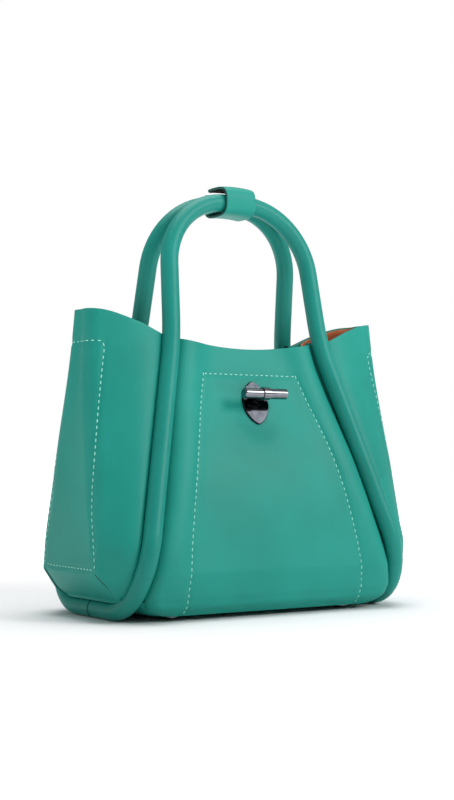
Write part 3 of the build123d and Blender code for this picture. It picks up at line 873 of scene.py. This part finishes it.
JOINT_R = TUBE_R + 0.05
JOINT_X = HANDLE_ROUTE[0][0]
FLOOR_CLEAR = 0.0008
joints = []
for side in (-1, 1):
    ring = []
    for k in range(49):
        a = 2 * math.pi * k / 48
        x = side * JOINT_X + JOINT_R * math.cos(a)
        z = TUBE_R + JOINT_R * math.sin(a)
        ring.append(Vector((x, 0, z)) * MM)
    joints.append([p for p in ring if p.z > FLOOR_CLEAR])
strands("handle_joint_seams", joints, 0.7, 1.4, 0.9, edge_paint)

# %% [markdown]
# ## Handle wrap
# A strip of leather, lined with black, goes round both handles at the top of the arch. It starts behind
# the back tube, runs under both, up the front and over the top, and its free end stands a little away
# from where it began. The gap shows the black inside, so the strip is an open sheet and not a closed
# band.

# %% Wrap
wrap_low, wrap_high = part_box("handle_wrap")
WRAP_START, WRAP_END = math.radians(38), math.radians(-296)
WRAP_LONG = 22.0
OUTER_T, INNER_T = 1.6, 0.6
SQUARE_Y, SQUARE_Z = 0.62, 0.70  # under 1, they fill the round out towards a box round both tubes
FREE_FROM, FREE_LIFT = 0.82, 1.5  # where the free end starts to stand away, and how far it gets
WRAP_BOW, HALF_BOW = 0.7, 11  # the strip droops this much at 11 mm from its middle, where the arch falls


def wrap_point(u, v, inset, long):
    """Point of the strip: u from its start behind the back tube to its free end, v across its width."""
    angle = WRAP_START + (WRAP_END - WRAP_START) * u
    c, s = math.cos(angle), math.sin(angle)
    low, high = wrap_low.z / MM + 0.4, wrap_high.z / MM - 0.6
    lift = FREE_LIFT * smooth((u - FREE_FROM) / (1 - FREE_FROM))
    y = math.copysign(abs(c) ** SQUARE_Y, c) * (wrap_high.y / MM - 0.4 - inset + lift)
    z = (low + high) / 2 + math.copysign(abs(s) ** SQUARE_Z, s) * ((high - low) / 2 - inset + 0.4 * lift)
    x = (v - 0.5) * long
    return Vector((x, y, z - WRAP_BOW * (x / HALF_BOW) ** 2)) * MM


wrap_centre = (wrap_low + wrap_high) / 2
mesh = sheet(110, 16, lambda u, v: wrap_point(u, v, 0, WRAP_LONG))
outer = finish_piece("handle_wrap_leather", mesh, [green, edge_paint], centre=wrap_centre)
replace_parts(thicken(outer, OUTER_T), "handle_wrap")
mesh = sheet(110, 16, lambda u, v: wrap_point(u, v, OUTER_T, WRAP_LONG - 0.3))
inner = finish_piece("wrap_lining_leather", mesh, [black, black], centre=wrap_centre)
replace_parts(thicken(inner, INNER_T), "wrap_lining")
print("wrap", len(outer.data.polygons) + len(inner.data.polygons), "faces")

# %% [markdown]
# ## Floor and light
# The bag stands on a pale floor under soft studio light: a large key light from the right front, a larger
# one overhead and a weak strip from the left, because large lights give leather its wide, soft
# highlights. A studio sweeps its floor up into a white wall. A flat floor does as well here, if it glows
# more the further it is from the bag: beside the bag it shows the true shadow, and far away it is as
# white as the background.

# %% Floor
GLOW_FROM, GLOW_TO, GLOW_MOST = 0.25, 0.9, 0.95  # metres from the bag, and the strength of the glow
floor_mesh = bmesh.new()
bmesh.ops.create_grid(floor_mesh, x_segments=1, y_segments=1, size=6)
floor_data = bpy.data.meshes.new("floor")
floor_mesh.to_mesh(floor_data)
floor_mesh.free()
floor = bpy.data.objects.new("floor", floor_data)
bpy.context.scene.collection.objects.link(floor)
paper, paper_shader = new_material("white_paper")
paper_shader.inputs["Base Color"].default_value = linear("#F4F4F6")
paper_shader.inputs["Roughness"].default_value = 0.85
paper_shader.inputs["Emission Color"].default_value = linear("#FFFFFF")
place = add_node(paper, "ShaderNodeTexCoord").outputs["Object"]
reach = add_node(paper, "ShaderNodeVectorMath", {"operation": "LENGTH"}, Vector=place)
glow = add_node(
    paper, "ShaderNodeMapRange",
    Value=reach.outputs["Value"], From_Min=GLOW_FROM, From_Max=GLOW_TO, To_Max=GLOW_MOST,
)
link(paper, glow.outputs["Result"], paper_shader, "Emission Strength")
floor_data.materials.append(paper)
print("floor glows from", GLOW_FROM, "to", GLOW_TO, "m")

# %% [markdown]
# ### Surround
# The background is plain white to the eye, but it lights the bag with only a third of that, or the
# leather would have no shadow side. A Light Path node tells the two apart. It is in the world only, and
# in no material.

# %% Surround
AMBIENT = 0.34
world = bpy.data.worlds.new("surround")
world.use_nodes = True
background = world.node_tree.nodes["Background"]
background.inputs["Color"].default_value = linear("#FFFFFF")
seen = add_node(world, "ShaderNodeLightPath").outputs["Is Camera Ray"]
strength = add_node(world, "ShaderNodeMapRange", Value=seen, To_Min=AMBIENT, To_Max=1.0)
link(world, strength.outputs["Result"], background, "Strength")
bpy.context.scene.world = world


# %% Lights
def soft_light(name, where, size, watts):
    """A rectangular light that looks at the middle of the bag."""
    data = bpy.data.lights.new(name, "AREA")
    data.shape = "RECTANGLE"
    data.size, data.size_y = size
    data.energy = watts
    light = bpy.data.objects.new(name, data)
    light.location = where
    light.rotation_euler = (Vector(where) - Vector((0, 0, 0.1))).to_track_quat("Z", "Y").to_euler()
    bpy.context.scene.collection.objects.link(light)


soft_light("key", (0.9, -1.4, 1.0), (0.7, 0.7), 15)
soft_light("overhead", (0.1, 0.1, 1.7), (1.4, 1.4), 24)
soft_light("edge", (-1.5, 0.3, 0.5), (0.25, 0.9), 1.2)

bpy.context.scene.view_settings.view_transform = "Standard"
